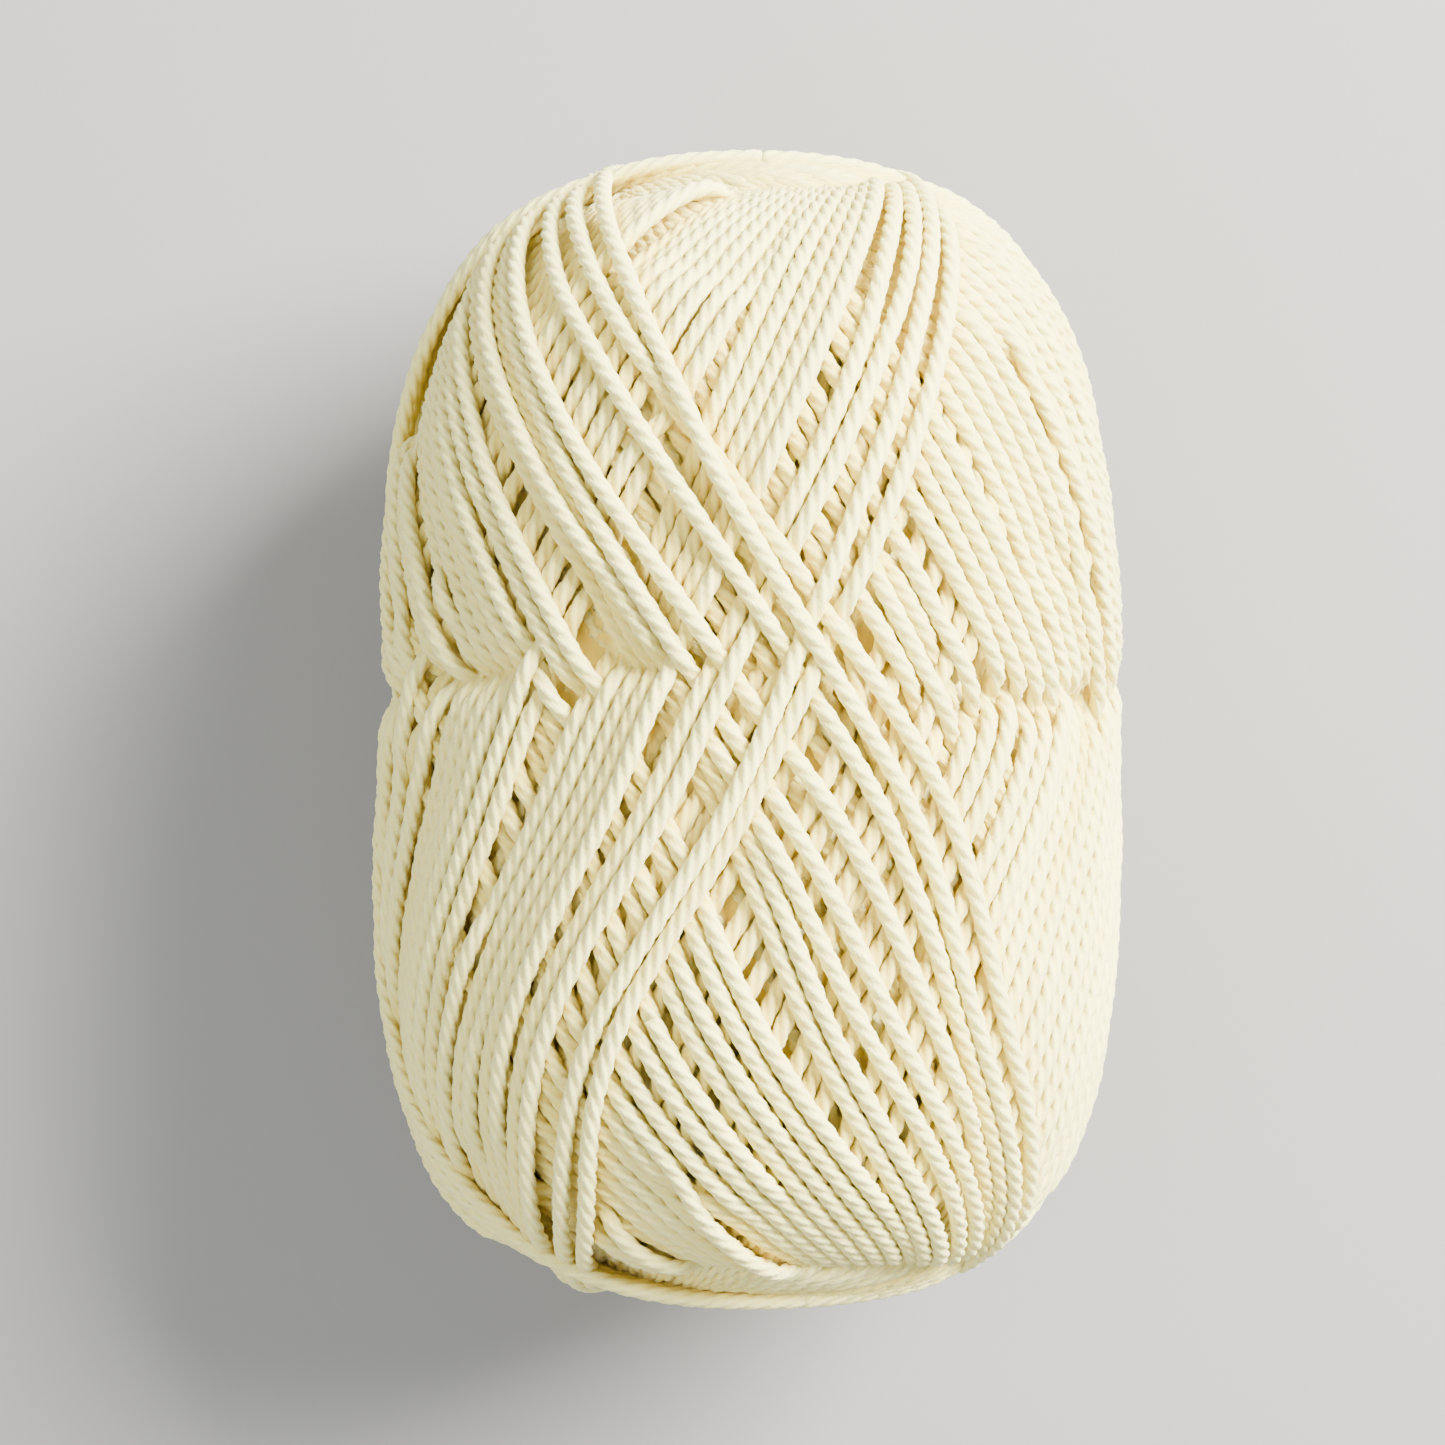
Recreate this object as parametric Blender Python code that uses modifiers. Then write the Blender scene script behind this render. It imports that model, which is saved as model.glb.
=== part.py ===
"""A centre-pull ball of yarn lying on its side, in metres, +Z up.

The ball's long axis is Y. The origin is on the table, under the middle of the ball. The ball is built
in the order in which it was wound: four barrel-shaped windings, one over the other, with the centre
hole through all of them, and then the last of the yarn, which lies on the outer winding as single
strands. The yarn is laid by an arm that circles the ball in a plane leaning a little from its axis,
while the ball turns a third of a turn for each circle. So the strands climb one way on their way up
and the other way on their way down, and each circle lies beside the one laid three circles earlier.
"""

import math

import bmesh
import bpy
import numpy as np

# ---- driving dimensions, metres ----
LENGTH = 0.141  # along Y, over the outer winding
WIDTH = 0.0925  # along X, over the outer winding
SQUASH = 0.875  # the ball's height over its width, as it sags under its own weight
FLAT_DEPTH = 0.0030  # how far the underside is pressed in where the ball rests
TOP_FULLNESS = 2.9  # how square the barrel's outline is at its +Y end, where 2 is an ellipse,
BOTTOM_FULLNESS = 3.4  # and at its -Y end
YARN = 0.0025  # diameter of one strand
GAP = 0.0003  # between windings that touch

# ---- windings from the inside out: name, width and length as shares of the ball's, end hole radius ----
WINDINGS = (
    ("core_nest", 0.38, 0.80, 0.0075),
    ("inner_winding", 0.60, 0.87, 0.0085),
    ("middle_winding", 0.81, 0.94, 0.0100),
    ("outer_winding", 1.00, 1.00, 0.0125),
)
OUTLINE_STEPS = 7  # from the middle of a winding to the end hole of the next one
TURNED_STEPS = 32

# ---- the last of the yarn ----
PASSES = 6  # of the strand from one end of the ball to the other
FIRST_PASS = -1.25  # where the first of them starts, in circles of the arm before the newest strand
STARTS = 3  # the strands lie in this many bundles around the ball
ARM_LEAN = math.radians(12.5)  # between the arm's plane and the ball's axis
STRAND_SPACING = 0.0034  # between neighbours in a bundle, at the middle of the ball
TRAIL = 0.075  # how far the strands lag round the ball for each unit they climb
WOUND_ABOUT = 0.006  # the middle of the arm's circle, up the ball's axis
NEWEST = math.radians(12.0)  # where the newest strands cross, around the ball from its top
SAMPLE = 0.0010  # between points of the yarn's route
TUBE_STEP = 0.0050
SEAT = 0.0006  # between a strand and the outer winding
OVER = 0.0007  # between two strands where one crosses the other
OVER_REACH = 0.016  # along the strand, from where it starts to rise to where it crosses
FLOOR_CLEAR = 0.0005  # between the lowest strand and the table
MIDDLE = (0.0020, 0.0011)  # of the windings, so that the origin is under the middle of the whole ball
SHORTEST = 0.080  # a shorter stretch, cut off where the ball is pressed to the table, is left out

HALF_LENGTH = LENGTH / 2
RADIUS = WIDTH / 2
CENTRE_HEIGHT = RADIUS * SQUASH - FLAT_DEPTH
TURN_PER_CIRCLE = 2 * math.pi / STARTS + STRAND_SPACING / RADIUS / STARTS


def clear_scene():
    for ob in list(bpy.data.objects):
        bpy.data.objects.remove(ob, do_unlink=True)


def collection(name):
    made = bpy.data.collections.new(name)
    bpy.context.scene.collection.children.link(made)
    return made


def yarn_material(name, shade):
    mat = bpy.data.materials.new(name)
    mat.use_nodes = True
    shader = mat.node_tree.nodes["Principled BSDF"]
    shader.inputs["Base Color"].default_value = (shade, shade * 0.92, shade * 0.72, 1.0)
    shader.inputs["Roughness"].default_value = 0.85
    shader.inputs["Metallic"].default_value = 0.0
    return mat


# ---- windings ----
def barrel_side(radius, half, fullness, holes):
    """One side of a barrel's outline from its middle to its end hole, as (r, y) pairs.

    It has a point at each hole radius in holes, from the widest to the narrowest.
    """
    angles, last = [], 0.0
    for hole, steps in zip(holes, (OUTLINE_STEPS, 1)):
        end = math.acos((hole / radius) ** (fullness / 2))
        angles += [last + (end - last) * i / steps for i in range(steps)]
        last = end
    angles.append(last)
    power = 2 / fullness
    return [(radius * math.cos(a) ** power, half * math.sin(a) ** power) for a in angles]


def barrel_outline(index, holes, swell=0.0):
    """A winding's outer side, from its top end hole down to its bottom one."""
    _, wide, long, _ = WINDINGS[index]
    radius, half = RADIUS * wide + swell, HALF_LENGTH * long + swell
    top = barrel_side(radius, half, TOP_FULLNESS, holes)
    bottom = barrel_side(radius, half, BOTTOM_FULLNESS, holes)
    return top[:0:-1] + [(r, -y) for r, y in bottom]


def winding_outline(index):
    """A winding's closed outline, down its outer side and up over the winding inside it."""
    hole = WINDINGS[index][3]
    outermost = index == len(WINDINGS) - 1
    outside = barrel_outline(index, (hole,) if outermost else (WINDINGS[index + 1][3], hole))
    inside = barrel_outline(index - 1, (hole,), GAP) if index else []
    return outside + inside[::-1]


def winding(index, home, mat):
    name = WINDINGS[index][0]
    outline = winding_outline(index)
    mesh = bpy.data.meshes.new(name)
    edges = [(i, (i + 1) % len(outline)) for i in range(len(outline))]
    mesh.from_pydata([(r, 0, y) for r, y in outline], edges, [])
    mesh.materials.append(mat)
    ob = bpy.data.objects.new(name, mesh)
    home.objects.link(ob)
    turned = ob.modifiers.new("turned", "SCREW")
    turned.axis = "Z"
    turned.steps = turned.render_steps = TURNED_STEPS
    turned.use_merge_vertices = True
    turned.merge_threshold = 0.00001
    turned.use_smooth_shade = True
    ob.rotation_euler = (math.radians(-90), 0, 0)
    ob.scale = (1.0, SQUASH, 1.0)
    ob.location = (*MIDDLE, CENTRE_HEIGHT)
    return ob


def press_flat(ob, guides):
    """Cuts the underside off at the table, where the ball rests."""
    mesh = bpy.data.meshes.new("table_cutter")
    bm = bmesh.new()
    bmesh.ops.create_cube(bm, size=1.0)
    bmesh.ops.scale(bm, vec=(WIDTH * 2, LENGTH * 2, WIDTH), verts=bm.verts)
    bmesh.ops.translate(bm, vec=(0, 0, -WIDTH / 2), verts=bm.verts)
    bm.to_mesh(mesh)
    bm.free()
    cutter = bpy.data.objects.new("table_cutter", mesh)
    guides.objects.link(cutter)
    cutter.hide_render = True
    cutter.display_type = "WIRE"
    cut = ob.modifiers.new("pressed_flat", "BOOLEAN")
    cut.operation = "DIFFERENCE"
    cut.solver = "EXACT"
    cut.object = cutter


# ---- the yarn's route over the outer winding ----
def barrel_level(points):
    """Below 1 inside the outer winding's barrel, and above 1 outside it."""
    n = np.where(points[:, 1] >= 0, TOP_FULLNESS, BOTTOM_FULLNESS)
    r = np.hypot(points[:, 0], points[:, 2])
    return (r / RADIUS) ** n + np.abs(points[:, 1] / HALF_LENGTH) ** n


def barrel_normals(points):
    n = np.where(points[:, 1] >= 0, TOP_FULLNESS, BOTTOM_FULLNESS)
    r = np.hypot(points[:, 0], points[:, 2])
    around = (r / RADIUS) ** (n - 1) / RADIUS / r
    along = np.abs(points[:, 1] / HALF_LENGTH) ** (n - 1) / HALF_LENGTH * np.sign(points[:, 1])
    normals = np.stack([points[:, 0] * around, along, points[:, 2] * around / SQUASH], axis=1)
    return normals / np.linalg.norm(normals, axis=1, keepdims=True)


def laid(circle):
    """The points of the barrel where the arm lays the yarn, for its angle in whole circles."""
    angle = 2 * math.pi * circle
    up = np.sin(angle) * math.cos(ARM_LEAN)
    side = np.sin(angle) * math.sin(ARM_LEAN)
    way = np.stack([side, up, np.cos(angle)], axis=1)
    near, far = np.zeros(len(circle)), np.full(len(circle), LENGTH)
    middle = np.array([0.0, WOUND_ABOUT, 0.0])
    for _ in range(40):
        reach = (near + far) / 2
        inside = barrel_level(middle + way * reach[:, None]) < 1
        near, far = np.where(inside, reach, near), np.where(inside, far, reach)
    points = middle + way * near[:, None]
    turn = NEWEST + TURN_PER_CIRCLE * circle - TRAIL * (points[:, 1] - WOUND_ABOUT) / RADIUS
    x, z = points[:, 0], points[:, 2]
    return np.stack(
        [x * np.cos(turn) + z * np.sin(turn), points[:, 1], z * np.cos(turn) - x * np.sin(turn)],
        axis=1,
    )


def evenly(points, step):
    """The same route with its points a step apart."""
    gone = np.concatenate([[0], np.cumsum(np.linalg.norm(np.diff(points, axis=0), axis=1))])
    wanted = np.linspace(0, gone[-1], max(2, round(gone[-1] / step) + 1))
    return np.stack([np.interp(wanted, gone, points[:, k]) for k in range(3)], axis=1)


def rises(base, pass_starts):
    """How far each point of the route is lifted to go over the yarn that is already there."""
    rise = np.zeros(len(base))
    place = np.arange(len(base)) * SAMPLE
    for start, end in zip(pass_starts, [*pass_starts[1:], len(base)]):
        for i in range(start, end):
            older = slice(0, max(0, min(start, i - round(OVER_REACH / SAMPLE))))
            apart = np.linalg.norm(base[older] - base[i], axis=1)
            near = apart < YARN + GAP
            if near.any():
                needed = rise[older][near] + np.sqrt((YARN + OVER) ** 2 - apart[near] ** 2)
                away = np.clip(np.abs(place - place[i]) / OVER_REACH, 0, 1)
                rise = np.maximum(rise, needed.max() * (1 + np.cos(math.pi * away)) / 2)
    return rise


def strand_routes():
    """The middle line of each pass, lifted over the older ones and cut off where it meets the table."""
    circles = np.linspace(FIRST_PASS, FIRST_PASS + PASSES / 2, PASSES * 800 + 1)
    points = evenly(laid(circles), SAMPLE)
    pass_starts = [round(k * len(points) / PASSES) for k in range(PASSES)]
    base = points * (1, 1, SQUASH) + (0, 0, CENTRE_HEIGHT)
    lift = SEAT + YARN / 2 + rises(base, pass_starts)
    centre = base + barrel_normals(points) * lift[:, None] + (*MIDDLE, 0)
    clear = centre[:, 2] > YARN / 2 + FLOOR_CLEAR
    routes = []
    for part, above in zip(np.split(centre, pass_starts[1:]), np.split(clear, pass_starts[1:])):
        breaks = np.flatnonzero(np.diff(above.astype(int))) + 1
        for piece, kept in zip(np.split(part, breaks), np.split(above, breaks)):
            if kept[0] and len(piece) * SAMPLE > SHORTEST:
                routes.append(evenly(piece, TUBE_STEP))
    return routes


def strand(name, points, home, mat):
    curve = bpy.data.curves.new(name, "CURVE")
    curve.dimensions = "3D"
    curve.bevel_depth = YARN / 2
    curve.bevel_resolution = 2
    curve.use_fill_caps = True
    spline = curve.splines.new("POLY")
    spline.points.add(len(points) - 1)
    for place, point in zip(spline.points, points):
        place.co = (*point, 1.0)
    curve.materials.append(mat)
    ob = bpy.data.objects.new(name, curve)
    home.objects.link(ob)
    return ob


def build():
    clear_scene()
    home, guides = collection("ball_of_yarn"), collection("cutters")
    for index, (name, *_) in enumerate(WINDINGS):
        ob = winding(index, home, yarn_material(name, 0.62 + 0.06 * index))
    press_flat(ob, guides)
    for number, points in enumerate(strand_routes(), 1):
        strand(f"last_strand_{number}", points, home, yarn_material(f"last_strand_{number}", 0.88))


build()
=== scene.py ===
"""The looks of the ball of yarn: its wound strands, its light and its camera.

The yarn is wound again, strand by strand, along the same routes as the CAD model's last strands. Each
winding is one long route over a barrel. It is settled so that a newer strand lies over an older one
where they cross, and then it gets the four twisted plies of the real yarn.

Lengths are in metres. Places on a route are told in circles of the winding arm: circle 0 starts
half-way along the ball on its front, and later circles are newer.
"""

import math

import bpy
import numpy as np
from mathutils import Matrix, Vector
from mathutils.kdtree import KDTree


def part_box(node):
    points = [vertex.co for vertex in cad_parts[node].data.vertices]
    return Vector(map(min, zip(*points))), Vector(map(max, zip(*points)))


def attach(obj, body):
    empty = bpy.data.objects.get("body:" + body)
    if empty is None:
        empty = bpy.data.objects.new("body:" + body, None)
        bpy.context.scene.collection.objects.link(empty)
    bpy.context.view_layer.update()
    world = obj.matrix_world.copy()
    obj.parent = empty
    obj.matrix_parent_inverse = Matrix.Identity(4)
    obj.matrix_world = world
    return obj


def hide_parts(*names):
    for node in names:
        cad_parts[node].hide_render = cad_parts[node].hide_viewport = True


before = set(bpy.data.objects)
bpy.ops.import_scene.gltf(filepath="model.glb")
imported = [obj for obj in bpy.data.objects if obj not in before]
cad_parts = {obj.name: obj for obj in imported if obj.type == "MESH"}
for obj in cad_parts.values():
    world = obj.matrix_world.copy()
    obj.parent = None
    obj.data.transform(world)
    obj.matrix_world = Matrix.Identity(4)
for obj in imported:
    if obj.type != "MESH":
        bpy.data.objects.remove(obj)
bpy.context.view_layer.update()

# ---- the ball, as the CAD model has it ----
LENGTH = 0.141  # of the outer winding's barrel, along Y
SQUASH = 0.875  # height over width
FLAT_DEPTH = 0.0030  # how far the underside is pressed in
TOP_FULLNESS = 2.9  # how square the shoulders are at each end: 2 would be round
BOTTOM_FULLNESS = 3.4
YARN = 0.0025  # diameter of one strand
STARTS = 3  # bundles of strands round the ball
STRAND_SPACING = 0.0034  # between neighbours in a bundle, round the ball
TRAIL = 0.075  # how far the strands lean back as the ball turns under the arm
WOUND_ABOUT = 0.006  # place along the ball that the arm's circles are centred on
NEWEST = math.radians(12.0)  # where circle 0 starts, round the ball
ARM_LEAN = math.radians(12.5)  # of the arm's circles, from the ball's long axis
FIRST_PASS = -1.25  # circle where the first of the last passes starts
PASSES = 6  # from one end of the ball to the other, each a piece of its own
LAST_CIRCLE = FIRST_PASS + PASSES / 2
SEAT = 0.0006  # clearance of the last passes over the outer winding

outer_low, outer_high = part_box("outer_winding")
MIDDLE = (outer_low + outer_high) / 2
RADIUS = (outer_high.x - outer_low.x) / 2
CENTRE = Vector((MIDDLE.x, MIDDLE.y, RADIUS * SQUASH - FLAT_DEPTH))
TURN_PER_CIRCLE = 2 * math.pi / STARTS + STRAND_SPACING / RADIUS / STARTS
PER_COVER = 2 * math.pi * RADIUS / STRAND_SPACING  # circles of the arm to cover the ball once
COVERS = 1.12  # of the outer yarn over the ball
LAID_PER_CIRCLE = 1400  # places worked out on each circle, before they are spaced evenly

# ---- how the strands settle ----
SAMPLE = 0.0009  # along the strand, and between the rings of its mesh
UNDER_SAMPLE = 0.0016  # the same for the yarn that only shows in gaps
PRESSED = (0.20, 0.68)  # height of one strand on another, in diameters: at the end holes, at the sides
PRESSED_AT = (0.020, 0.047)  # how far from the axis each of these holds
AGE_DROP = 0.0013  # how much lower the oldest strand of a cover lies than the newest
CREST = (0.50, 0.15)  # how far a strand can be lifted, in diameters: the newest, the older ones
CREST_AGE = 0.08  # of a cover, over which the lift falls from the first to the second
DEEPEST = 0.0048  # how far the yarn that shows reaches down under the newest strands
PUSH = (0.45, 0.35)  # shares of an overlap by which the older and the newer strand move aside
PARALLEL = 0.955  # cosine of the angle up to which two strands can lie side by side
STIFFNESS = 0.0055  # length over which a push is spread along a strand, to each side
FURTHEST = 0.004  # that a strand can be pushed aside
HELD = 0.12  # how freely the newest strands on the front can be pushed aside
RIM = (0.016, 0.020, 0.05)  # strands are held at this distance from the axis, free so much further out
SINK, LIFT = 0.75, 0.25  # shares of an overlap by which the older strand sinks and the newer one rises
RETURN = 0.06  # share by which a strand comes back to its own height in each round
WANDER = 0.0120  # how unevenly the strands lie, in radians around the ball
UP_AND_DOWN = 0.0034  # how far the middle of a circle strays along the ball
STEADY = (0.85, 0.70)  # shares by which the newest strands wander and stray less
STEADY_AT = (-12, -3)  # circles over which they come to do so
PRESSED_FROM = 0.010  # height up to which the yarn is squeezed by the floor
SQUEEZE = 2.2  # how quickly it gives near the floor
LOWEST_STRAND = 0.42  # height of the middle of a strand that lies on the floor, in diameters

# ---- the barrels that the yarn lies on ----
OUTER_SUNK, OUTER_LONGER = 0.0006, 0.0018  # inside the CAD's last strands, and past its barrel's ends
SECOND_COVER = (0.0028, 0.0012)  # how much less wide, to a side, and long, to an end, than the ball
OUTER_BED = (0.0033, 0.0060, 0.0140)  # the same for the bed under it, and the radius of its holes
INNER_BED = (0.0022, 0.0010)  # how much smaller each inner bed is than its winding, its hole wider

# The windings inside the outer one: node, width and length as shares of the ball's, radius of the holes
INSIDE = (
    ("middle_winding", 0.81, 0.94, 0.0100),
    ("inner_winding", 0.60, 0.87, 0.0085),
    ("core_nest", 0.38, 0.80, 0.0075),
)

SEEN_DOWN_HOLES = 0.024  # how far from the axis their yarn can be seen

# ---- the yarn's make-up ----
TWIST_LENGTH = 0.0103  # for one turn of the plies
PLY_OFFSET = 0.00058  # from the strand's middle to a ply's
PLY_RADIUS = 0.00060
FLATTENED = 0.93  # height of a strand over its width
SLUBS = (0.011, 0.022)  # length of the thick and thin places, and how much they differ
SIDES = 16  # of a strand's mesh
UNDER_SIDES = 8
MOST_RINGS = 6000  # in one piece, for strands of SIDES sides
GROOVE_SHADE, UNDERSIDE_SHADE, BURIED_SHADE = 0.30, 0.80, 0.55  # painted shade: how much deeper and more golden the colour is painted in the ply grooves, on each strand's underside and under higher strands
LAST_PASS_PAINTED_LIGHT, BED_PAINTED_SHADE, TONES = 1.02, 0.97, 0.015  # lightness of the last passes, with painted light, and of the beds, with painted shade, and the random spread of tone between strands

# ---- how the newest strands on the front lie beside their regular places, in mm to the right ----
# Read at every twentieth of a circle. Each climbing strand leans to the right and each falling one to
# the left, and the newest comes first.
BEND = 0.0048  # how far the lower half of every strand lies to the left of its regular place
CLIMBING = (
    (-7.4, -6.9, -6.0, -5.9, -6.2, -6.6, -6.6, -6.3, -5.5),
    (-0.6, 0.1, 0.7, 0.7, 0.6, 0.5, 0.9, 1.7, 2.0),
    (-6.0, -5.2, -4.3, -4.1, -4.2, -4.0, -3.3, -2.5, -2.0),
    (-5.0, -4.6, -4.0, -4.1, -4.5, -4.4, -3.8, -3.5, -3.0),
)
FALLING = (
    (2.4, 1.9, 0.3, -0.9, -1.2, -1.4, -1.7, -2.2, -2.3),
    (-3.0, -0.6, 2.6, 5.2, 6.0, 6.4, 6.2, 5.6, 4.6),
    (-5.0, -2.2, 1.0, 2.6, 2.8, 2.7, 2.9, 3.0, 2.6),
    (-8.2, -7.4, -5.6, -3.8, -2.9, -1.8, 1.0, 3.4, 3.6),
    (-8.4, -7.6, -5.6, -4.0, -3.5, -3.0, -0.2, 2.2, 2.4),
    (-8.8, -7.8, -5.4, -4.0, -4.2, -4.0, -1.2, 1.6, 2.0),
    (-8.2, -7.4, -5.0, -3.4, -3.8, -4.4, -3.0, -1.8, -1.6),
)
FADE = 14  # passes over which the older ones come back to their regular places
FIRST_CLIMBING = -0.25  # circles where the newest pass of each kind starts
FIRST_FALLING = 1.25

# ---- light and camera ----
FLOOR_SIZE = 6.0
CAMERA_PLACE = (-0.0012, 0.0016, 0.50)
SEEN_WIDTH = 0.1869  # of the picture at the height of the ball's middle
SENSOR = 36.0

SEED = 7


def barrel(radius, half, lean):
    """What one winding lies on: a barrel of this size, and the lean of the arm that winds it."""
    return {"radius": radius, "half": half, "lean": lean}


def level(stage, points):
    """Below 1 inside the barrel, and above 1 outside it."""
    n = np.where(points[:, 1] >= 0, TOP_FULLNESS, BOTTOM_FULLNESS)
    r = np.hypot(points[:, 0], points[:, 2])
    return (r / stage["radius"]) ** n + np.abs(points[:, 1] / stage["half"]) ** n


def barrel_normals(stage, points):
    n = np.where(points[:, 1] >= 0, TOP_FULLNESS, BOTTOM_FULLNESS)
    r = np.hypot(points[:, 0], points[:, 2])
    around = (r / stage["radius"]) ** (n - 1) / stage["radius"] / r
    along = np.abs(points[:, 1] / stage["half"]) ** (n - 1) / stage["half"] * np.sign(points[:, 1])
    normals = np.stack([points[:, 0] * around, along, points[:, 2] * around / SQUASH], axis=1)
    return unit(normals)


def unit(v):
    return v / np.linalg.norm(v, axis=-1, keepdims=True)


def eased(t):
    return t * t * (3 - 2 * t)


def wander(circles, rng, amount):
    """A smooth random drift with a new value every quarter circle."""
    first = math.floor(circles[0] * 4)
    knots = rng.normal(0, amount, math.ceil(circles[-1] * 4) - first + 2)
    at = circles * 4 - first
    k = np.clip(np.floor(at).astype(int), 0, len(knots) - 2)
    return knots[k] + (knots[k + 1] - knots[k]) * eased(at - k)


def bent(along_axis):
    """How far the lower half of a strand lies to the left, as an angle round the ball."""
    share = np.clip((-0.004 - along_axis) / 0.072, 0, 1)
    return BEND / RADIUS * (1 - np.cos(2 * math.pi * share)) / 2


def placed(circles):
    """The listed places of the newest strands on the front, as angles round the ball."""
    knots, values = [circles[0] - 1], [0.0]
    passes = []
    for first, rows in ((FIRST_CLIMBING, CLIMBING), (FIRST_FALLING, FALLING)):
        passes += [(first - STARTS * i, row) for i, row in enumerate(rows)]
        for i in range(1, FADE):
            faded = tuple(v * (1 - i / FADE) for v in rows[-1])
            passes.append((first - STARTS * (len(rows) - 1 + i), faded))
    for start, row in sorted(passes):
        knots += [start - 0.03, *(start + 0.05 * (k + 1) for k in range(len(row))), start + 0.53]
        values += [0.0, *row, 0.0]
    angles = np.interp(circles, knots, values) / 1000 / RADIUS
    reach = 51
    blur = np.hanning(2 * reach + 1)
    return np.convolve(np.pad(angles, reach, mode="edge"), blur / blur.sum(), mode="valid")


def laid(stage, circles, drift, middle_drift):
    """The points of the barrel where the winding arm lays the yarn."""
    angle = 2 * math.pi * circles
    up = np.sin(angle) * math.cos(stage["lean"])
    side = np.sin(angle) * math.sin(stage["lean"])
    way = np.stack([side, up, np.cos(angle)], axis=1)
    near, far = np.zeros(len(circles)), np.full(len(circles), LENGTH)
    middle = np.array([0.0, WOUND_ABOUT, 0.0]) + middle_drift[:, None] * (0, 1, 0)
    halvings = 40
    for _ in range(halvings):
        reach = (near + far) / 2
        inside = level(stage, middle + way * reach[:, None]) < 1
        near, far = np.where(inside, reach, near), np.where(inside, far, reach)
    points = middle + way * near[:, None]
    turn = NEWEST + TURN_PER_CIRCLE * circles - TRAIL * (points[:, 1] - WOUND_ABOUT) / RADIUS
    turn = turn + drift - bent(points[:, 1])
    x, z = points[:, 0], points[:, 2]
    return np.stack(
        [x * np.cos(turn) + z * np.sin(turn), points[:, 1], z * np.cos(turn) - x * np.sin(turn)],
        axis=1,
    )


def evenly(values, along, step):
    """Columns of values, read again at places a step apart along the route."""
    wanted = np.arange(0, along[-1], step)
    return np.stack([np.interp(wanted, along, column) for column in values.T], axis=1)


def near_pairs(base, reach, step):
    """Pairs of places, older and newer, where two strands lie within reach of each other."""
    tree = KDTree(len(base))
    for i, p in enumerate(base):
        tree.insert(p, i)
    tree.balance()
    clear = round(4 * YARN / step)
    older, newer, apart = [], [], []
    for i, p in enumerate(base):
        for _, j, distance in tree.find_range(p, reach):
            if i - j > clear:
                older.append(j)
                newer.append(i)
                apart.append(distance)
    return np.array(older), np.array(newer), np.array(apart)


def averaged(index, values, used, count):
    return np.bincount(index, values, count) / np.maximum(np.bincount(index, used, count), 1)


def side_by_side(base, normals, give, step, steps=40):
    """Pushes strands that run the same way apart, as far as they give, so that they lie side by side."""
    ahead = unit(np.gradient(base, axis=0))
    side = unit(np.cross(ahead, normals))
    older, newer, _ = near_pairs(base, YARN * 1.15, step)
    parallel = np.abs((ahead[older] * ahead[newer]).sum(axis=1)) > PARALLEL
    older, newer = older[parallel], newer[parallel]
    count = len(base)
    stiff = np.hanning(2 * round(STIFFNESS / step) + 3)
    stiff /= stiff.sum()
    pushed = np.zeros(count)
    for _ in range(steps):
        between = (base + side * pushed[:, None])[newer] - (base + side * pushed[:, None])[older]
        away = (between * side[older]).sum(axis=1)
        way = np.where(away >= 0, 1.0, -1.0)
        same = np.where((side[older] * side[newer]).sum(axis=1) > 0, 1.0, -1.0)
        short = np.maximum(YARN * 0.95 - np.linalg.norm(between, axis=1), 0)
        touching = (short > 0).astype(float)
        back = averaged(older, -way * short, touching, count)
        forth = averaged(newer, way * same * short, touching, count)
        pushed += (PUSH[0] * back + PUSH[1] * forth) * give
        pushed = np.convolve(pushed, stiff, mode="same") * 0.995
    return base + side * np.clip(pushed, -FURTHEST, FURTHEST)[:, None]


def settled(base, from_axis, cover, step, steps=90):
    """How high each place of the route lies over the barrel: newer strands over older ones."""
    count = len(base)
    older, newer, apart = near_pairs(base, YARN * 0.98, step)
    pressed = np.interp(from_axis[newer], PRESSED_AT, PRESSED)
    need = pressed * np.sqrt(np.maximum(YARN**2 - apart**2, 0))
    age = (count - 1 - np.arange(count)) * step / cover
    top = -AGE_DROP * age
    ceiling = top + YARN * np.interp(age, (0.0, CREST_AGE), CREST)
    height = top.copy()
    for _ in range(steps):
        short = np.maximum(need - (height[newer] - height[older]), 0)
        touching = short > 0
        down = averaged(older, short, touching, count)
        up = averaged(newer, short, touching, count)
        height += up * LIFT - down * SINK
        height[1:-1] = height[1:-1] * 0.5 + (height[:-2] + height[2:]) * 0.25
        height += (top - height) * RETURN
        height = np.clip(height, -DEEPEST, ceiling)
    return height


def pressed_to_floor(points, clearance):
    """Squeezes the part of the ball near the floor, so that nothing reaches below it."""
    z = points[:, 2]
    lowest = -FLAT_DEPTH - YARN
    t = np.clip((PRESSED_FROM - z) / (PRESSED_FROM - lowest), 0, 1)
    squeezed = PRESSED_FROM - (PRESSED_FROM - clearance) * (1 - (1 - t) ** SQUEEZE)
    return np.where(z < PRESSED_FROM, np.maximum(squeezed, clearance), z)


def give(circles, from_axis):
    """How freely each place can be pushed aside: little on the newest strands and round the holes."""
    rim, reach, least = RIM
    freely = np.clip((from_axis - rim) / reach, least, 1)
    return freely * np.where(circles > FIRST_FALLING - STARTS * len(FALLING), HELD, 1.0)


def covered(base, height, step):
    """How much each place of a route lies under or close beside higher strands, from 0 to 1, which sets
    the painted shade there.
    """
    reach = YARN * 1.5
    one, other, apart = near_pairs(base, reach, step)
    count = len(base)
    closeness = 1 - apart / reach
    higher = height[other] - height[one]
    over = np.bincount(one, closeness * np.clip(higher / YARN, 0, 1), count)
    over += np.bincount(other, closeness * np.clip(-higher / YARN, 0, 1), count)
    for _ in range(3):
        over[1:-1] = over[1:-1] * 0.5 + (over[:-2] + over[2:]) * 0.25
    return np.clip(over * step / UNDER_SAMPLE, 0, 1)


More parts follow.
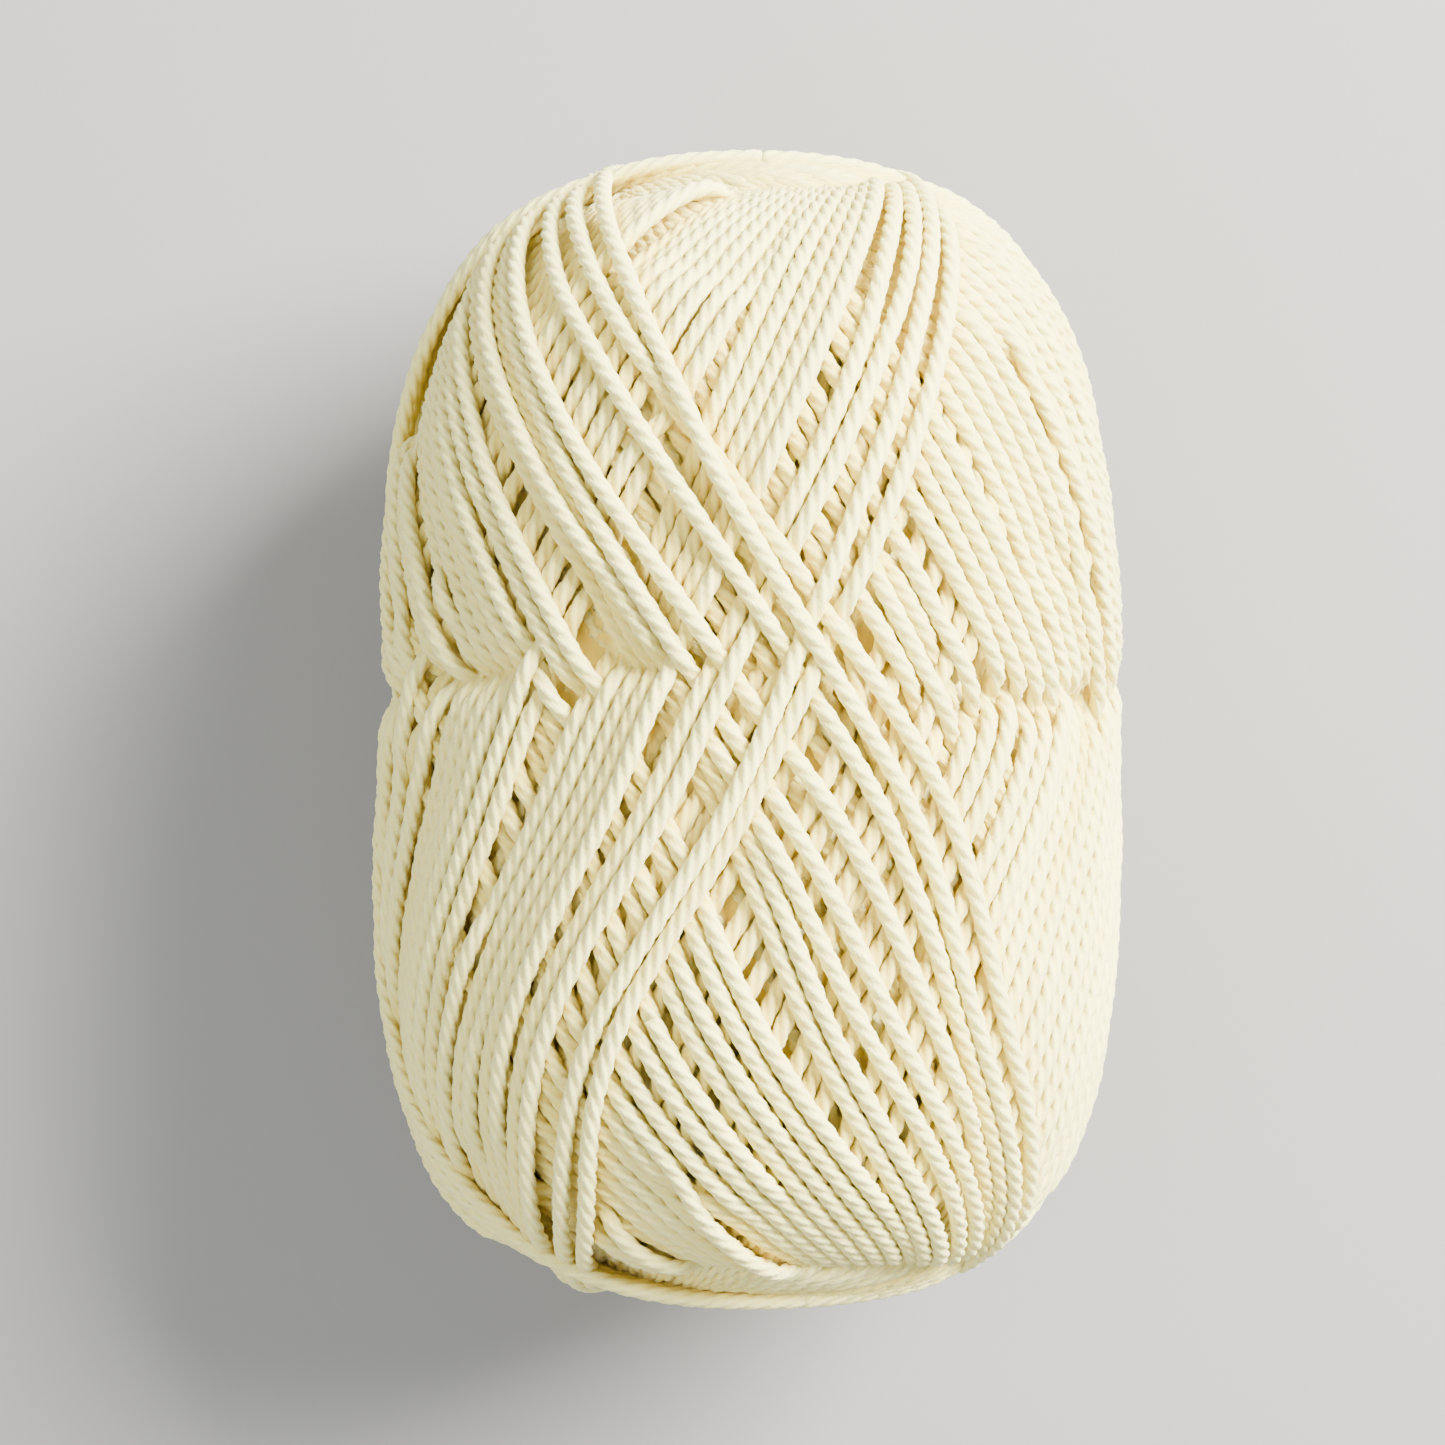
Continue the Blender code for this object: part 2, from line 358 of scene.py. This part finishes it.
def wind(stage, last_circle, covers, drift, step=SAMPLE):
    """One winding as a route, from a start that is hidden half-way along the ball."""
    circles_laid = last_circle - 0.5 + round(PER_COVER * covers)
    count = round(circles_laid * LAID_PER_CIRCLE)
    circles = np.linspace(last_circle - circles_laid, last_circle, count)
    points = laid(stage, circles, *drift(circles))
    along = np.concatenate([[0], np.cumsum(np.linalg.norm(np.diff(points, axis=0), axis=1))])
    values = evenly(np.column_stack([points, circles]), along, step)
    points, circles = values[:, :3], values[:, 3]
    normals = barrel_normals(stage, points)
    from_axis = np.hypot(points[:, 0], points[:, 2])
    on_barrel = points * (1, 1, SQUASH) + np.array(CENTRE)
    base = side_by_side(on_barrel, normals, give(circles, from_axis), step)
    height = settled(base, from_axis, along[-1] / circles_laid * PER_COVER, step)
    centre = base + normals * height[:, None]
    centre[:, 2] = pressed_to_floor(centre, YARN * LOWEST_STRAND)
    # how much painted shade each place gets from the higher strands over and beside it
    buried = covered(base, height, step)
    return {"centre": centre, "normal": normals, "circle": circles, "buried": buried}


# ---- strand meshes ----
def ply_section(sides):
    """The outline of four plies pressed together, as angles and radii."""
    angles = 2 * math.pi * np.arange(sides) / sides
    off = (angles + math.pi / 4) % (math.pi / 2) - math.pi / 4
    sunk = np.sqrt(PLY_RADIUS**2 - (PLY_OFFSET * np.sin(off)) ** 2)
    return angles, PLY_OFFSET * np.cos(off) + sunk


def tube(route, sides, rng, twist_from, step=SAMPLE):
    """Vertices, quads, the fibre attribute and the painted shade of one strand along a route."""
    centre, up = route["centre"], route["normal"]
    count = len(centre)
    ahead = unit(np.gradient(centre, axis=0))
    side = unit(np.cross(ahead, up))
    up = np.cross(side, ahead)
    place = twist_from + np.arange(count) * step
    slubs = wander(place / SLUBS[0], rng, SLUBS[1])
    angles, radii = ply_section(sides)
    turned = angles[None, :] + (2 * math.pi * place / TWIST_LENGTH)[:, None]
    radius = radii[None, :] * (1 + slubs)[:, None]
    across, over = np.cos(turned) * radius, np.sin(turned) * radius
    verts = (
        centre[:, None, :]
        + side[:, None, :] * across[:, :, None]
        + up[:, None, :] * (over * FLATTENED)[:, :, None]
    )
    fibre = np.stack([np.broadcast_to(place[:, None], across.shape), across, over], axis=2)
    # Painted shade: deeper, golden colour in the grooves between the plies, on the underside of the
    # strand and where higher strands lie over or close beside it.
    groove = (radii.max() - radii) / (radii.max() - radii.min())
    under = eased(np.clip(0.15 - over / radii.max(), 0, 1))
    painted_shade = GROOVE_SHADE * groove[None, :] + UNDERSIDE_SHADE * under + BURIED_SHADE * route["buried"][:, None]
    ring = np.arange(count - 1)[:, None] * sides
    k = np.arange(sides)[None, :]
    nxt = (k + 1) % sides
    quads = np.stack([ring + k, ring + nxt, ring + sides + nxt, ring + sides + k], axis=2)
    painted_shade = np.clip(painted_shade, 0, 1)
    return verts.reshape(-1, 3), quads.reshape(-1, 4), fibre.reshape(-1, 3), painted_shade.reshape(-1)


def strands_mesh(name, tubes, tones_and_painted_light, sides=0):
    """One object from several strands, with closed ends where they are tubes of so many sides."""
    verts, quads, ends, fibres, painted_shade, tone_and_painted_light, start = [], [], [], [], [], [], 0
    for (points, faces, fibre, painted_shade_part), tone in zip(tubes, tones_and_painted_light):
        verts.append(points)
        quads.append(faces + start)
        if sides:
            last = start + len(points) - sides
            ends += [start + np.arange(sides)[::-1], last + np.arange(sides)]
        fibres.append(fibre)
        painted_shade.append(painted_shade_part)
        tone_and_painted_light.append(np.full(len(points), tone))
        start += len(points)
    verts, quads = np.concatenate(verts), np.concatenate(quads)
    mesh = bpy.data.meshes.new(name)
    mesh.vertices.add(len(verts))
    mesh.vertices.foreach_set("co", verts.astype(np.float32).ravel())
    sizes = np.array([4] * len(quads) + [len(end) for end in ends], dtype=np.int32)
    mesh.loops.add(int(sizes.sum()))
    mesh.loops.foreach_set("vertex_index", np.concatenate([quads.ravel(), *ends]).astype(np.int32))
    mesh.polygons.add(len(sizes))
    starts = np.concatenate([[0], np.cumsum(sizes)[:-1]]).astype(np.int32)
    mesh.polygons.foreach_set("loop_start", starts)
    mesh.polygons.foreach_set("loop_total", sizes)
    mesh.update(calc_edges=True)
    mesh.shade_smooth()
    fibre = mesh.attributes.new("fibre", "FLOAT_VECTOR", "POINT")
    fibre.data.foreach_set("vector", np.concatenate(fibres).astype(np.float32).ravel())
    # The painted shade, and each strand's tone with painted light or shade, go on as attributes
    for key, values in (("painted_shade", painted_shade), ("tone_and_painted_light", tone_and_painted_light)):
        attribute = mesh.attributes.new(key, "FLOAT", "POINT")
        attribute.data.foreach_set("value", np.concatenate(values).astype(np.float32))
    ob = bpy.data.objects.new(name, mesh)
    bpy.context.scene.collection.objects.link(ob)
    return ob


def runs(keep):
    """The first and last index of each unbroken run of True."""
    edges = np.flatnonzero(np.diff(np.concatenate([[False], keep, [False]]).astype(int)))
    return list(zip(edges[::2], edges[1::2]))


def cut(route, start, end):
    return {key: value[start:end] for key, value in route.items()}


# ---- materials ----
def yarn_material(name, light=(0.94, 0.87, 0.34), painted_shade_colour=(0.84, 0.64, 0.10)):
    """Soft plied yarn: fine fibres along the strand, a painted shade that is deeper and warmer between
    the plies, under the strands and under higher strands, and a slight sheen.
    """
    mat = bpy.data.materials.new(name)
    mat.use_nodes = True
    nodes, links = mat.node_tree.nodes, mat.node_tree.links
    shader = nodes["Principled BSDF"]

    def attribute(key):
        node = nodes.new("ShaderNodeAttribute")
        node.attribute_name = key
        return node

    fibre = attribute("fibre")
    stretched = nodes.new("ShaderNodeMapping")
    stretched.inputs["Scale"].default_value = (0.16, 1.0, 1.0)
    links.new(fibre.outputs["Vector"], stretched.inputs["Vector"])
    fine = nodes.new("ShaderNodeTexNoise")
    fine.inputs["Scale"].default_value = 3600.0
    fine.inputs["Detail"].default_value = 3.0
    fine.inputs["Roughness"].default_value = 0.6
    links.new(stretched.outputs["Vector"], fine.inputs["Vector"])
    bump = nodes.new("ShaderNodeBump")
    bump.inputs["Strength"].default_value = 0.8
    bump.inputs["Distance"].default_value = 0.00022
    links.new(fine.outputs["Fac"], bump.inputs["Height"])
    links.new(bump.outputs["Normal"], shader.inputs["Normal"])

    patches = nodes.new("ShaderNodeTexNoise")
    patches.inputs["Scale"].default_value = 260.0
    patches.inputs["Detail"].default_value = 2.0
    links.new(fibre.outputs["Vector"], patches.inputs["Vector"])

    # Painted shade: the yarn's own colour goes over to a deep golden colour in the grooves, under the
    # strands and under higher strands.
    painted_shade_mix = nodes.new("ShaderNodeMix")
    painted_shade_mix.data_type = "RGBA"
    painted_shade_mix.inputs["A"].default_value = (*light, 1)
    painted_shade_mix.inputs["B"].default_value = (*painted_shade_colour, 1)
    links.new(attribute("painted_shade").outputs["Fac"], painted_shade_mix.inputs["Factor"])

    speck = nodes.new("ShaderNodeMapRange")
    speck.inputs["From Min"].default_value = 0.3
    speck.inputs["From Max"].default_value = 0.7
    speck.inputs["To Min"].default_value = 0.93
    speck.inputs["To Max"].default_value = 1.03
    links.new(fine.outputs["Fac"], speck.inputs["Value"])
    patch = nodes.new("ShaderNodeMapRange")
    patch.inputs["To Min"].default_value = 0.95
    patch.inputs["To Max"].default_value = 1.05
    links.new(patches.outputs["Fac"], patch.inputs["Value"])
    both = nodes.new("ShaderNodeMath")
    both.operation = "MULTIPLY"
    links.new(speck.outputs["Result"], both.inputs[0])
    links.new(patch.outputs["Result"], both.inputs[1])
    # Each strand's random tone, with painted light on the last passes and painted shade on the beds
    toned = nodes.new("ShaderNodeMath")
    toned.operation = "MULTIPLY"
    links.new(both.outputs["Value"], toned.inputs[0])
    links.new(attribute("tone_and_painted_light").outputs["Fac"], toned.inputs[1])
    colour = nodes.new("ShaderNodeVectorMath")
    colour.operation = "SCALE"
    links.new(painted_shade_mix.outputs["Result"], colour.inputs[0])
    links.new(toned.outputs["Value"], colour.inputs["Scale"])
    links.new(colour.outputs["Vector"], shader.inputs["Base Color"])

    shader.inputs["Roughness"].default_value = 0.88
    shader.inputs["Subsurface Weight"].default_value = 0.15
    shader.inputs["Subsurface Radius"].default_value = (1.0, 0.62, 0.22)
    shader.inputs["Subsurface Scale"].default_value = 0.0016
    shader.inputs["Specular IOR Level"].default_value = 0.25
    shader.inputs["Sheen Weight"].default_value = 0.25
    shader.inputs["Sheen Roughness"].default_value = 0.5
    shader.inputs["Sheen Tint"].default_value = (1.0, 0.95, 0.82, 1)
    return mat


# ---- the pieces ----
def finished(ob, mat, slot, *nodes):
    ob.data.materials.append(mat)
    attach(ob, "root")
    if nodes:
        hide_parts(*nodes)


def in_groups(spans, limit):
    """Stretches of a route, cut up and shared out so that no group has too many rings."""
    groups, size = [[]], 0
    for a, b in spans:
        for start in range(a, b - 1, limit):
            end = min(start + limit, b)
            if size + end - start > limit:
                groups.append([])
                size = 0
            groups[-1].append((start, min(end + 1, b)))
            size += end - start
    return groups


def outer_yarn(rng, mat):
    """The outer winding in groups of strands, and the last passes as pieces of their own."""
    stage = barrel(RADIUS + SEAT + YARN / 2 - OUTER_SUNK, LENGTH / 2 + OUTER_LONGER, ARM_LEAN)

    def drift(circles):
        newest = np.clip((circles - STEADY_AT[0]) / (STEADY_AT[1] - STEADY_AT[0]), 0, 1)
        loose = wander(circles, rng, WANDER) * (1 - STEADY[0] * newest)
        return placed(circles) + loose, wander(circles, rng, UP_AND_DOWN) * (1 - STEADY[1] * newest)

    route = wind(stage, LAST_CIRCLE, COVERS, drift)
    for number in range(PASSES):
        start, end = FIRST_PASS + number / 2, FIRST_PASS + (number + 1) / 2
        inside = (route["circle"] >= start) & (route["circle"] <= end)
        tubes = [tube(cut(route, a, b + 1), SIDES, rng, a * SAMPLE) for a, b in runs(inside)]
        ob = strands_mesh(f"last_pass_{number + 1}", tubes, [LAST_PASS_PAINTED_LIGHT] * len(tubes), SIDES)
        finished(ob, mat, "strand", f"last_strand_{number + 1}")
    older = cut(route, 0, int(np.argmax(route["circle"] >= FIRST_PASS)))
    groups = in_groups([(0, len(older["circle"]))], MOST_RINGS)
    for number, group in enumerate(groups, 1):
        tubes = [tube(cut(older, a, b), SIDES, rng, a * SAMPLE) for a, b in group]
        tones = 1 + rng.normal(0, TONES, len(tubes))
        ob = strands_mesh(f"wound_yarn_{number}", tubes, tones, SIDES)
        finished(ob, mat, "outer_winding", *(["outer_winding"] if number == len(groups) else []))


def under_yarn(name, slot, stage, rng, mat, nodes=(), seen_within=LENGTH):
    """A cover of older yarn that only shows in gaps or down the end holes, in plainer strands."""

    def drift(circles):
        return wander(circles, rng, WANDER), wander(circles, rng, UP_AND_DOWN)

    hidden_end = 0.5  # half-way along the ball, where the newer yarn covers it
    route = wind(stage, hidden_end, stage["radius"] / RADIUS, drift, UNDER_SAMPLE)
    from_axis = np.hypot(*(route["centre"] - np.array(CENTRE))[:, [0, 2]].T)
    spans = [(a, b) for a, b in runs(from_axis < seen_within) if b - a > 6]
    for number, group in enumerate(in_groups(spans, MOST_RINGS * SIDES // UNDER_SIDES), 1):
        tubes = [
            tube(cut(route, a, b), UNDER_SIDES, rng, a * UNDER_SAMPLE, UNDER_SAMPLE) for a, b in group
        ]
        ob = strands_mesh(f"{name}_{number}", tubes, [1.0] * len(tubes), UNDER_SIDES)
        finished(ob, mat, slot, *(nodes if number == 1 else []))


def bed(name, slot, radius, half, hole, mat):
    """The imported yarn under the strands: a barrel with a hole, ribbed like crossing strands."""
    rows, columns = 150, 260
    ribs, rib_height, slope, full_at = 84, 0.0009, 9.0, 0.03
    profile = []
    for fullness, sign in ((TOP_FULLNESS, 1), (BOTTOM_FULLNESS, -1)):
        end = math.acos((hole / radius) ** (fullness / 2))
        angles = np.linspace(0, end, rows // 2)
        r = radius * np.cos(angles) ** (2 / fullness)
        profile.append(np.column_stack([r, sign * half * np.sin(angles) ** (2 / fullness)]))
    outline = np.concatenate([profile[0][::-1], profile[1][1:]])
    r, y = outline[:, :1], outline[:, 1:]
    turn = 2 * math.pi * np.arange(columns)[None, :] / columns
    climbing = np.abs(np.cos(ribs / 2 * (turn - y * slope)))
    falling = np.abs(np.cos(ribs / 2 * (turn + y * slope)))
    raised = r + rib_height * np.clip(r / full_at, 0, 1) ** 2 * (np.maximum(climbing, falling) - 1)
    x, z = raised * np.sin(turn), raised * np.cos(turn) * SQUASH
    verts = np.stack([x, np.broadcast_to(y, x.shape), z], axis=2).reshape(-1, 3) + np.array(CENTRE)
    verts[:, 2] = pressed_to_floor(verts, YARN * 1.2)
    count = len(outline)  # the last ring joins the first one, down the hole
    i = np.arange(count)[:, None]
    j = np.arange(columns)[None, :]
    below, beside = (i + 1) % count, (j + 1) % columns
    quads = np.stack(
        [i * columns + j, i * columns + beside, below * columns + beside, below * columns + j], axis=2
    )
    place = np.stack([np.broadcast_to(y, x.shape), x, z], axis=2).reshape(-1, 3)
    # Painted shade: the whole bed gets the full deep, golden colour of the gaps, and the beds' darker
    # painted-shade tone
    parts = (verts, quads.reshape(-1, 4), place, np.ones(len(verts)))
    finished(strands_mesh(name, [parts], [BED_PAINTED_SHADE]), mat, slot)


def stage_lights_and_camera():
    mesh = bpy.data.meshes.new("floor")
    edge = FLOOR_SIZE / 2
    corners = [(-edge, -edge, 0), (edge, -edge, 0), (edge, edge, 0), (-edge, edge, 0)]
    mesh.from_pydata(corners, [], [(0, 1, 2, 3)])
    floor = bpy.data.objects.new("floor", mesh)
    bpy.context.scene.collection.objects.link(floor)
    mat = bpy.data.materials.new("pale_floor")
    mat.use_nodes = True
    shader = mat.node_tree.nodes["Principled BSDF"]
    shader.inputs["Base Color"].default_value = (0.25, 0.245, 0.235, 1)
    shader.inputs["Roughness"].default_value = 0.8
    mesh.materials.append(mat)

    def area(name, place, size, power, colour):
        data = bpy.data.lights.new(name, "AREA")
        data.shape = "SQUARE"
        data.size = size
        data.energy = power
        data.color = colour
        ob = bpy.data.objects.new(name, data)
        ob.location = place
        ob.rotation_euler = (CENTRE - Vector(place)).to_track_quat("-Z", "Y").to_euler()
        bpy.context.scene.collection.objects.link(ob)

    area("window", (0.72, 0.46, 0.60), 0.60, 104.0, (1.0, 0.985, 0.95))
    area("fill", (-0.6, -0.2, 0.9), 0.9, 12.0, (0.95, 0.97, 1.0))
    world = bpy.data.worlds.new("studio")
    world.use_nodes = True
    sky = world.node_tree.nodes["Background"]
    sky.inputs["Color"].default_value = (0.90, 0.94, 1.0, 1)
    sky.inputs["Strength"].default_value = 0.66
    bpy.context.scene.world = world

    data = bpy.data.cameras.new("camera")
    data.sensor_width = SENSOR
    data.lens = SENSOR * (CAMERA_PLACE[2] - CENTRE.z) / SEEN_WIDTH
    camera = bpy.data.objects.new("camera", data)
    camera.location = CAMERA_PLACE
    bpy.context.scene.collection.objects.link(camera)
    bpy.context.scene.camera = camera


rng = np.random.default_rng(SEED)
yarn = yarn_material("yarn")
outer_yarn(rng, yarn)
second_cover = barrel(RADIUS - SECOND_COVER[0], LENGTH / 2 - SECOND_COVER[1], ARM_LEAN)
under_yarn("under_yarn", "outer_winding", second_cover, rng, yarn)
bed("outer_bed", "outer_winding", RADIUS - OUTER_BED[0], LENGTH / 2 - OUTER_BED[1], OUTER_BED[2], yarn)
for node, wide, long, hole in INSIDE:
    radius, half = RADIUS * wide, LENGTH / 2 * long
    stage = barrel(radius, half, math.atan((hole + YARN / 2) / half))
    under_yarn(f"{node}_yarn", node, stage, rng, yarn, (node,), SEEN_DOWN_HOLES)
    bed(f"{node}_bed", node, radius - INNER_BED[0], half - INNER_BED[0], hole + INNER_BED[1], yarn)
stage_lights_and_camera()
